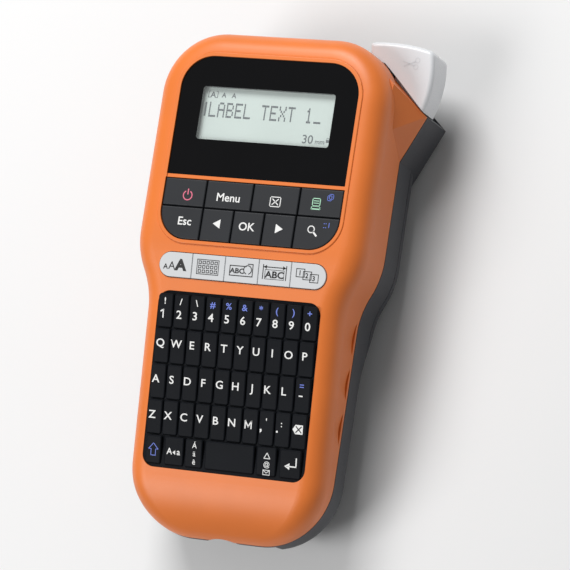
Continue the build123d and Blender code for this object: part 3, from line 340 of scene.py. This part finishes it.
# ---------------------------------------------------------------- white function keys
def strip_legends():
    y = -0.5
    pen = 0.36
    ink = Print("strip_key_font")
    ink.text(-3.85, y - 1.0, "A", 2.0, weight=0.02)
    ink.text(-1.15, y - 0.45, "A", 3.1, weight=0.0)
    ink.text(2.75, y, "A", 4.1, weight=0.05, squeeze=1.1)
    ink.lay("legend_font", BLACK, "strip_key_font")

    ink = Print("strip_key_frame")
    square = 1.75
    ink.frame(-0.2, y, 9.4, 5.8, 0.28)
    for row in (-1, 0, 1):
        for column in (-2, -1, 0, 1, 2):
            ink.frame(-0.2 + column * square, y + row * square, 1.05, 1.05, 0.3)
    ink.lay("legend_frame", BLACK, "strip_key_frame")

    ink = Print("strip_key_tape")
    ink.line([(1.95, y - 2.3), (-5.05, y - 2.3), (-5.05, y + 1.6), (1.95, y + 1.6)], pen)
    ink.ring(2.65, y + 0.3, 1.7, pen, -75, 255)
    ink.line([(2.75, y + 2.6), (4.85, y + 2.6), (4.85, y - 2.3), (1.95, y - 2.3)], pen)
    ink.text(-1.95, y - 0.35, "ABC", 1.9, weight=0.03, squeeze=1.15)
    ink.lay("legend_tape", BLACK, "strip_key_tape")

    ink = Print("strip_key_width")
    ink.line([(-5.0, y + 2.2), (5.0, y + 2.2)], pen)
    for side in (1, -1):
        post, tip = -5.0 * side, -4.8 * side
        ink.line([(post, y - 2.5), (post, y + 3.0)], pen)
        root = tip + side * 1.3
        ink.poly([(tip, y + 2.2), (root, y + 2.2 - side * 0.8), (root, y + 2.2 + side * 0.8)])
    ink.text(0, y - 0.7, "ABC", 2.5, weight=0.03, squeeze=1.15)
    ink.frame(0, y - 0.7, 8.2, 3.7, 0.2)
    ink.lay("legend_width", BLACK, "strip_key_width")

    ink = Print("strip_key_numbering")
    for place, figure in enumerate("123"):
        x, up = -3.9 + place * 3.0, y + 1.0 - place * 0.9
        ink.frame(x, up, 3.5, 3.2, 0.3)
        ink.text(x - 0.2, up, figure, 1.9, weight=0.02)
    ink.lay("legend_numbering", BLACK, "strip_key_numbering")


# ---------------------------------------------------------------- letter keypad
KEY_PITCH = 7.0
LETTER = 3.0
FIGURE_ROW, TOP_ROW, MIDDLE_ROW, LOW_ROW, BOTTOM_ROW = 25.2, 13.5, -0.9, -15.2, -29.1


def row_of_letters(ink, letters, x, y, height=LETTER, squeeze=1.08, **style):
    for place, letter in enumerate(letters):
        ink.text(x + KEY_PITCH * place, y, letter, height, squeeze=squeeze, **style)


def keypad_legends():
    white, blue, dark = (Print("keypad_mat") for _ in range(3))
    y = FIGURE_ROW
    white.line([(-33.3, y + 0.9), (-32.3, y + 1.5), (-32.3, y - 1.5)], 0.5)
    row_of_letters(white, "234567890", -25.3, y, height=3.1, squeeze=1.1)
    row_of_letters(white, "!/\\", -31.7, y + 5.1, height=2.4, squeeze=1.1, weight=0.015)
    row_of_letters(blue, "#%&*()+", -31.7 + 3 * KEY_PITCH, y + 5.1, height=2.4, squeeze=1.1, weight=0.015)
    row_of_letters(white, "QWERTYUIOP", -32.1, TOP_ROW)
    row_of_letters(white, "ASDFGHJKL", -32.5, MIDDLE_ROW)
    white.box(30.8, MIDDLE_ROW - 1.2, 1.7, 0.5)
    for rise in (3.2, 2.3):
        blue.box(31.0, MIDDLE_ROW + rise, 1.8, 0.35)

    y = LOW_ROW
    row_of_letters(white, "ZXCVBN", -32.5, y)
    white.line([(8.4, y - 1.5), (8.4, y + 1.3), (9.7, y - 0.9), (11.0, y + 1.3), (11.0, y - 1.5)], 0.5)
    white.text(15.2, y - 0.3, ",", 3.2, weight=0.03)
    white.text(17.4, y + 1.7, "'", 2.4)
    white.text(22.2, y - 0.3, ".", 3.2, weight=0.03)
    white.text(24.0, y + 1.5, ":", 2.4)
    # delete
    white.poly([(28.8, y), (30.0, y + 1.8), (30.0, y - 1.8)])
    white.box(31.6, y, 3.2, 3.6)
    dark.line([(30.3, y - 1.1), (32.5, y + 1.1)], 0.45)
    dark.line([(30.3, y + 1.1), (32.5, y - 1.1)], 0.45)

    # shift, case, accents
    x, y = -30.4, BOTTOM_ROW
    blue.line([(x, y + 2.5), (x - 2.1, y + 0.2), (x - 1.0, y + 0.2), (x - 1.0, y - 2.3), (x + 1.0, y - 2.3),
               (x + 1.0, y + 0.2), (x + 2.1, y + 0.2)], 0.28, closed=True)
    white.text(-23.3, y, "A", 2.4)
    white.poly([(-21.9, y - 0.4), (-20.7, y + 0.5), (-20.7, y - 1.3)])
    white.text(-19.3, y, "a", 2.4)
    for rise, accent in zip((3.2, 0.0, -3.2), ("Á", "ä", "ê")):
        white.text(-12.4, y + rise, accent, 2.0, weight=0.008)
    # symbols, enter
    x = 19.2
    white.line([(x - 1.3, y + 1.3), (x + 1.3, y + 1.3), (x, y + 3.5)], 0.3, closed=True)
    white.text(x, y - 0.9, "@", 1.9, weight=0.006)
    white.frame(x, y - 4.1, 2.8, 1.8, 0.26)
    white.line([(x - 1.3, y - 3.3), (x, y - 4.3), (x + 1.3, y - 3.3)], 0.26)
    white.line([(31.8, y + 2.4), (31.8, y - 0.8), (28.0, y - 0.8)], 0.5)
    white.poly([(26.8, y - 0.8), (29.0, y + 0.5), (29.0, y - 2.1)])
    white.lay("keypad_legends_white", WHITE, "case", lift=0.1)
    blue.lay("keypad_legends_blue", BLUE, "case", lift=0.1)
    dark.lay("keypad_legend_delete_cross", BLACK, "case", lift=0.14)


# ---------------------------------------------------------------- display
DOTS = {
    "L": "10000 10000 10000 10000 10000 10000 11111",
    "A": "01110 10001 10001 11111 10001 10001 10001",
    "B": "11110 10001 10001 11110 10001 10001 11110",
    "E": "11111 10000 10000 11110 10000 10000 11111",
    "T": "11111 00100 00100 00100 00100 00100 00100",
    "X": "10001 10001 01010 00100 01010 10001 10001",
    "1": "00100 01100 00100 00100 00100 00100 01110",
    "_": "00000 00000 00000 00000 00000 00000 11111",
}
DOT_WIDTH, DOT_HEIGHT, DOT_FILL = 0.62, 0.9, 0.92
SIGN_PITCH = 3.85
FIRST_DOT_X, FIRST_DOT_Y = -26.0, 4.8


def dot_matrix(ink, text):
    for place, sign in enumerate(text):
        for row, dots in enumerate(DOTS.get(sign, "").split()):
            for column, on in enumerate(dots):
                if on == "1":
                    ink.box(FIRST_DOT_X + place * SIGN_PITCH + column * DOT_WIDTH,
                            FIRST_DOT_Y - row * DOT_HEIGHT, DOT_WIDTH * DOT_FILL, DOT_HEIGHT * DOT_FILL)


def display_content():
    ink = Print("lcd_panel")
    dot_matrix(ink, "LABEL TEXT 1_")
    ink.box(-27.9, 2.1, 0.8, 5.8)
    for x, size in ((-25.4, 2.4), (-20.6, 1.9), (-16.2, 1.9)):
        ink.text(x, 8.3, "A", size, weight=0.02)
    for x, side in ((-27.4, 1), (-23.4, -1)):
        ink.line([(x + side * 0.6, 9.6), (x, 9.6), (x, 7.1), (x + side * 0.6, 7.1)], 0.25)
    ink.text(18.6, -7.5, "30", 3.4, weight=0.01)
    ink.text(23.9, -8.2, "mm", 1.9, weight=0.01)
    ink.box(27.2, -7.8, 1.4, 1.2)
    ink.ring(27.2, -7.0, 0.5, 0.2, 0, 180)
    ink.lay("display_characters", SEGMENT, "case")


def lever_mark():
    """Scissors on the cutter lever, drawn flat a shade darker than the lever: painted shade for the raised
    relief.
    """
    ink = Print("cutter_lever")
    for x, y in ((6.87, 15.85), (6.27, 13.15)):
        ink.ring(x, y, 0.95, 0.4)
    ink.line([(5.97, 15.35), (1.27, 13.25)], 0.45)
    ink.line([(5.37, 13.65), (0.97, 15.15)], 0.45)
    ink.lay("lever_scissors", SCISSORS_SHADE, "lever", lift=0.08)


control_legends()
strip_legends()
keypad_legends()
display_content()
lever_mark()

# ---------------------------------------------------------------- studio
FLOOR_DROP = 0.0004
WORLD_STRENGTH = 0.2
LIGHT_DISTANCE = 1.5
LIGHT_SIZE = 0.7

bpy.ops.mesh.primitive_plane_add(size=6.0, location=(0, 0, -FLOOR_DROP))
floor = bpy.context.object
floor.name = "floor"
floor_paper = surface("floor_paper", linear(234, 234, 234), 0.75, mottle=0.01, broad=3, grain=300)
floor.data.materials.append(floor_paper)

world = bpy.data.worlds.new("studio")
bpy.context.scene.world = world
world.use_nodes = True
sky = world.node_tree.nodes["Background"]
sky.inputs["Color"].default_value = (1.0, 1.0, 1.0, 1)
sky.inputs["Strength"].default_value = WORLD_STRENGTH


def area_light(name, direction, power):
    light = bpy.data.lights.new(name, "AREA")
    light.size = LIGHT_SIZE
    light.energy = power
    lamp = bpy.data.objects.new(name, light)
    lamp.location = Vector(direction).normalized() * LIGHT_DISTANCE
    lamp.rotation_euler = Vector(direction).to_track_quat("Z", "Y").to_euler()
    bpy.context.scene.collection.objects.link(lamp)


area_light("key", (-0.2, 0.88, 1.0), 17.5)
area_light("front", (-0.6, -0.5, 1.0), 10.5)
bpy.context.scene.view_settings.view_transform = "Standard"

# ---------------------------------------------------------------- camera
AZIMUTH, ELEVATION, ROLL = (math.radians(a) for a in (68.357, 65.771, -61.338))
AIM = Vector((0.00884, 0.004051, 0.030))
CAMERA_DISTANCE = 1.3
FOCAL_LENGTH_MM = 202.584

back = Vector((math.sin(AZIMUTH) * math.cos(ELEVATION),
               -math.cos(AZIMUTH) * math.cos(ELEVATION),
               math.sin(ELEVATION)))
across = Vector((math.cos(AZIMUTH), math.sin(AZIMUTH), 0))
upward = back.cross(across)
right = math.cos(ROLL) * across + math.sin(ROLL) * upward
up = math.cos(ROLL) * upward - math.sin(ROLL) * across
lens = bpy.data.cameras.new("camera")
lens.sensor_width = 36.0
lens.lens = FOCAL_LENGTH_MM
lens.clip_end = 20.0
camera = bpy.data.objects.new("camera", lens)
bpy.context.scene.collection.objects.link(camera)
turn = Matrix((right, up, back)).transposed().to_4x4()
camera.matrix_world = Matrix.Translation(AIM + back * CAMERA_DISTANCE) @ turn
bpy.context.scene.camera = camera
